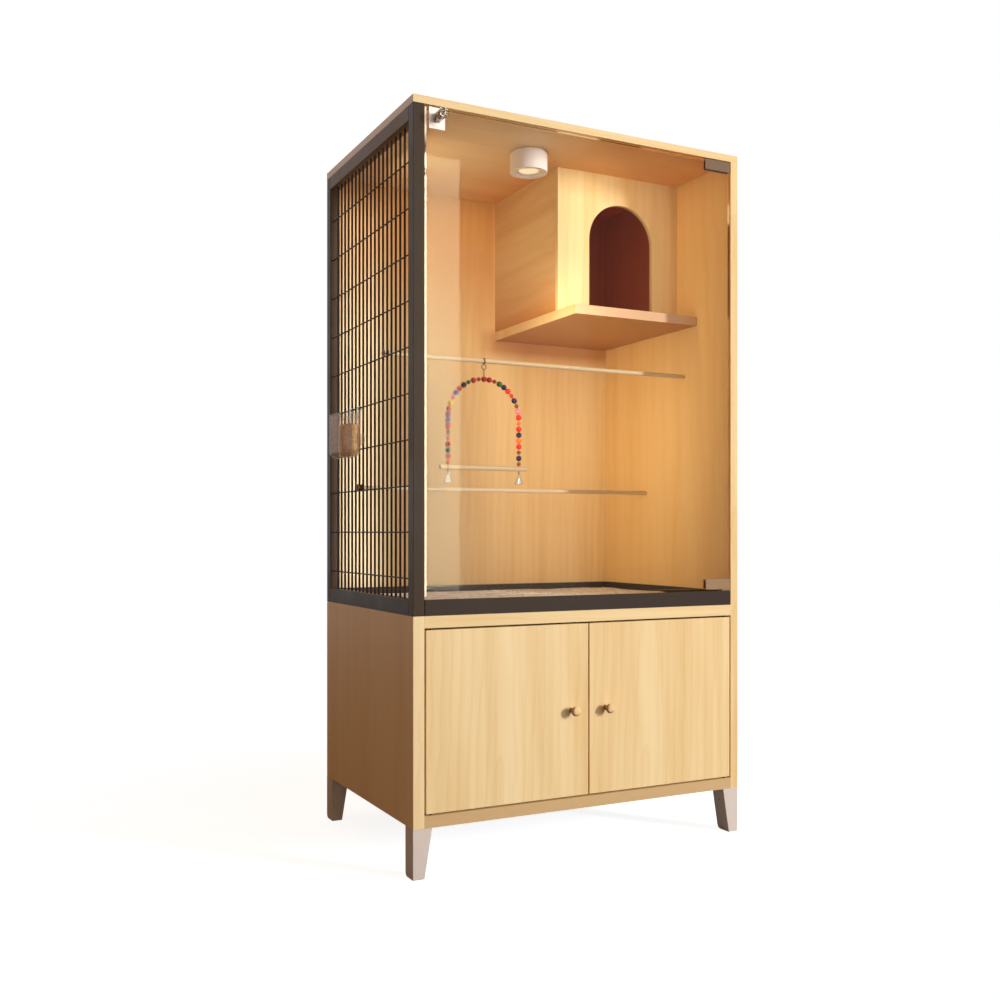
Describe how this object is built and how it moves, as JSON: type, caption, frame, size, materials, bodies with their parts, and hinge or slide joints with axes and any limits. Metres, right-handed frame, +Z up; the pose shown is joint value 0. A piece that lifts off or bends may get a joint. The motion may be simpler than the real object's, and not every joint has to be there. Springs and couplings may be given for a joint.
{
  "type": "bird cage",
  "caption": "Wooden display bird cage on a cupboard, with a glass door, a wire side grille, nest box, perches, swing, lamp and feeder.",
  "frame": {"origin": "centre of the whole object's footprint box, at floor level", "axes": "+X to the right seen from the glass door, with the wire grille on the left side; +Y from the glass door to the back panel; +Z up"},
  "size_m": [0.873, 0.596, 1.6],
  "materials": {
    "board_wood": "satin lacquer",
    "perch_wood": "smooth, unfinished",
    "knob_wood": "satin lacquer, turned",
    "bead_wood": "gloss paint in many colours",
    "frame_metal": "satin",
    "wire_metal": "satin",
    "tray_metal": "satin",
    "foot_metal": "satin champagne",
    "hinge_metal": "brushed",
    "steel": "plain",
    "lock_chrome": "polished",
    "bell_metal": "polished",
    "clear_glass": "polished",
    "clear_plastic": "clear",
    "lamp_white": "satin",
    "lamp_lens": "frosted",
    "catch_plastic": "matt",
    "pad": "matt absorbent pad"
  },
  "bodies": {
    "cage": {"top_panel": "board_wood", "right_side_panel": "board_wood", "back_panel": "board_wood", "cabinet_left_panel": "board_wood", "cabinet_top_board": "board_wood", "cabinet_bottom_board": "board_wood", "front_left_foot": "foot_metal", "front_right_foot": "foot_metal", "back_left_foot": "foot_metal", "back_right_foot": "foot_metal", "foot_studs": "steel", "grille_front_post": "frame_metal", "grille_back_post": "frame_metal", "grille_top_rail": "frame_metal", "grille_bottom_rail": "frame_metal", "grille_upright_wires": "wire_metal", "grille_cross_wires": "wire_metal", "nest_front_panel": "board_wood", "nest_side_panel": "board_wood", "nest_floor_board": "board_wood", "upper_perch": "perch_wood", "lower_perch": "perch_wood", "perch_bolts": "wire_metal", "perch_washers": "wire_metal", "lamp_base": "lamp_white", "lamp_housing": "lamp_white", "lamp_lens": "lamp_lens", "upper_pivot_bush": "steel", "lower_pivot_bracket": "hinge_metal", "lock_keeper": "lock_chrome", "magnetic_catches": "catch_plastic"},
    "glass_door": {"glass_panel": "clear_glass", "upper_glass_clamp": "hinge_metal", "lower_glass_clamp": "hinge_metal", "glass_pivot_pins": "steel", "lock_front_plate": "lock_chrome", "lock_back_nut": "lock_chrome", "lock_barrel": "lock_chrome"},
    "lock_plug": {"lock_plug": "lock_chrome", "lock_cam": "lock_chrome"},
    "left_cupboard_door": {"left_door": "board_wood", "left_door_knob": "knob_wood", "left_door_pins": "steel", "left_door_strike": "steel"},
    "right_cupboard_door": {"right_door": "board_wood", "right_door_knob": "knob_wood", "right_door_pins": "steel", "right_door_strike": "steel"},
    "tray": {"litter_tray": "tray_metal", "tray_liner": "pad"},
    "swing_hook": {"swing_hook": "steel"},
    "swing": {"swing_wire": "steel", "swing_bar": "perch_wood", "swing_beads": "bead_wood"},
    "left_bell": {"left_bell": "bell_metal"},
    "left_clapper": {"left_clapper": "bell_metal"},
    "right_bell": {"right_bell": "bell_metal"},
    "right_clapper": {"right_clapper": "bell_metal"},
    "feeder": {"feeder_cup": "clear_plastic", "feeder_hooks": "steel"}
  },
  "joints": [
    {"name": "glass_door_hinge", "type": "hinge", "parent": "cage", "child": "glass_door", "pos_m": [0.4025, -0.256, 1.075], "axis": [0, 0, 1], "range_deg": [0, 100]},
    {"name": "lock_plug_turn", "type": "hinge", "parent": "glass_door", "child": "lock_plug", "pos_m": [-0.3405, -0.262, 1.559], "axis": [0, -1, 0], "range_deg": [0, 90]},
    {"name": "left_cupboard_door_hinge", "type": "hinge", "parent": "cage", "child": "left_cupboard_door", "pos_m": [-0.3525, -0.255, 0.32], "axis": [0, 0, -1], "range_deg": [0, 110]},
    {"name": "right_cupboard_door_hinge", "type": "hinge", "parent": "cage", "child": "right_cupboard_door", "pos_m": [0.4005, -0.255, 0.32], "axis": [0, 0, 1], "range_deg": [0, 110]},
    {"name": "tray_slide", "type": "slide", "parent": "cage", "child": "tray", "axis": [0, -1, 0], "range_m": [0, 0.48]},
    {"name": "hook_on_perch", "type": "hinge", "parent": "cage", "child": "swing_hook", "pos_m": [-0.1435, -0.0785, 1.099], "axis": [1, 0, 0], "range_deg": [-20, 20]},
    {"name": "swing_in_hook", "type": "hinge", "parent": "swing_hook", "child": "swing", "pos_m": [-0.1435, -0.0785, 1.058], "axis": [1, 0, 0], "range_deg": [-12, 12]},
    {"name": "left_bell_hinge", "type": "hinge", "parent": "swing", "child": "left_bell", "pos_m": [-0.2335, -0.0785, 0.8443], "axis": [1, 0, 0], "range_deg": [-40, 40]},
    {"name": "left_clapper_hinge", "type": "hinge", "parent": "left_bell", "child": "left_clapper", "pos_m": [-0.2335, -0.0785, 0.837], "axis": [1, 0, 0], "range_deg": [-15, 15]},
    {"name": "right_bell_hinge", "type": "hinge", "parent": "swing", "child": "right_bell", "pos_m": [-0.0535, -0.0785, 0.8443], "axis": [1, 0, 0], "range_deg": [-40, 40]},
    {"name": "right_clapper_hinge", "type": "hinge", "parent": "right_bell", "child": "right_clapper", "pos_m": [-0.0535, -0.0785, 0.837], "axis": [1, 0, 0], "range_deg": [-15, 15]},
    {"name": "feeder_lift", "type": "slide", "parent": "cage", "child": "feeder", "axis": [0, 0, 1], "range_m": [0, 0.06]}
  ]
}
